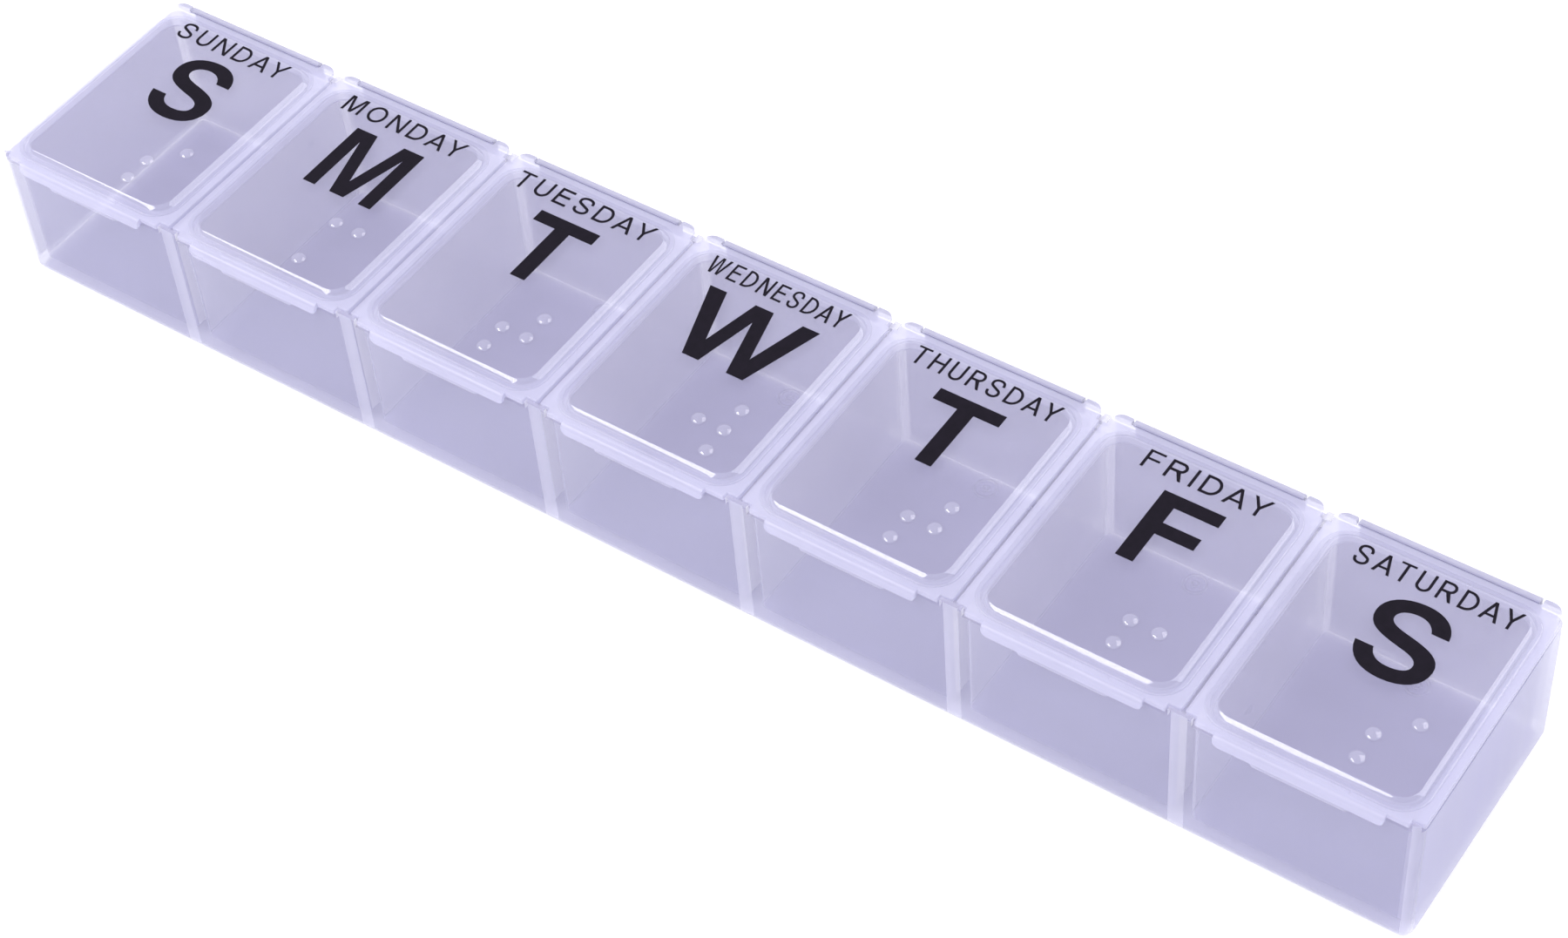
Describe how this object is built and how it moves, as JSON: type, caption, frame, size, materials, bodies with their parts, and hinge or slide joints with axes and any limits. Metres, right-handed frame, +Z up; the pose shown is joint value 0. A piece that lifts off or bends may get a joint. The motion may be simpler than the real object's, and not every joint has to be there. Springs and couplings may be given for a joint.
{
  "type": "travel pill organizer",
  "caption": "Long translucent plastic tray of pill compartments in a row, each under its own back-hinged snap lid with a raised panel, a thumb lip, raised dots and a printed day.",
  "frame": {"origin": "centre of the box's footprint, at the level of its underside", "axes": "+Z up, +X along the tray from the Sunday compartment to the Saturday one, +Y towards the hinged back edge"},
  "size_m": [0.1396, 0.0244, 0.0151],
  "materials": {
    "tray_plastic": "satin",
    "lid_plastic": "gloss",
    "hinge_plastic": "satin"
  },
  "bodies": {
    "tray": {"tray": "tray_plastic", "hinge_sunday": "hinge_plastic", "hinge_monday": "hinge_plastic", "hinge_tuesday": "hinge_plastic", "hinge_wednesday": "hinge_plastic", "hinge_thursday": "hinge_plastic", "hinge_friday": "hinge_plastic", "hinge_saturday": "hinge_plastic"},
    "lid_sunday": {"lid_sunday": "lid_plastic"},
    "lid_monday": {"lid_monday": "lid_plastic"},
    "lid_tuesday": {"lid_tuesday": "lid_plastic"},
    "lid_wednesday": {"lid_wednesday": "lid_plastic"},
    "lid_thursday": {"lid_thursday": "lid_plastic"},
    "lid_friday": {"lid_friday": "lid_plastic"},
    "lid_saturday": {"lid_saturday": "lid_plastic"}
  },
  "joints": [
    {"name": "sunday_hinge", "type": "hinge", "parent": "tray", "child": "lid_sunday", "pos_m": [-0.06, 0.012, 0.0135], "axis": [-1, 0, 0], "range_deg": [0, 170], "deforming": ["hinge_sunday"]},
    {"name": "monday_hinge", "type": "hinge", "parent": "tray", "child": "lid_monday", "pos_m": [-0.04, 0.012, 0.0135], "axis": [-1, 0, 0], "range_deg": [0, 170], "deforming": ["hinge_monday"]},
    {"name": "tuesday_hinge", "type": "hinge", "parent": "tray", "child": "lid_tuesday", "pos_m": [-0.02, 0.012, 0.0135], "axis": [-1, 0, 0], "range_deg": [0, 170], "deforming": ["hinge_tuesday"]},
    {"name": "wednesday_hinge", "type": "hinge", "parent": "tray", "child": "lid_wednesday", "pos_m": [0, 0.012, 0.0135], "axis": [-1, 0, 0], "range_deg": [0, 170], "deforming": ["hinge_wednesday"]},
    {"name": "thursday_hinge", "type": "hinge", "parent": "tray", "child": "lid_thursday", "pos_m": [0.02, 0.012, 0.0135], "axis": [-1, 0, 0], "range_deg": [0, 170], "deforming": ["hinge_thursday"]},
    {"name": "friday_hinge", "type": "hinge", "parent": "tray", "child": "lid_friday", "pos_m": [0.04, 0.012, 0.0135], "axis": [-1, 0, 0], "range_deg": [0, 170], "deforming": ["hinge_friday"]},
    {"name": "saturday_hinge", "type": "hinge", "parent": "tray", "child": "lid_saturday", "pos_m": [0.06, 0.012, 0.0135], "axis": [-1, 0, 0], "range_deg": [0, 170], "deforming": ["hinge_saturday"]}
  ]
}
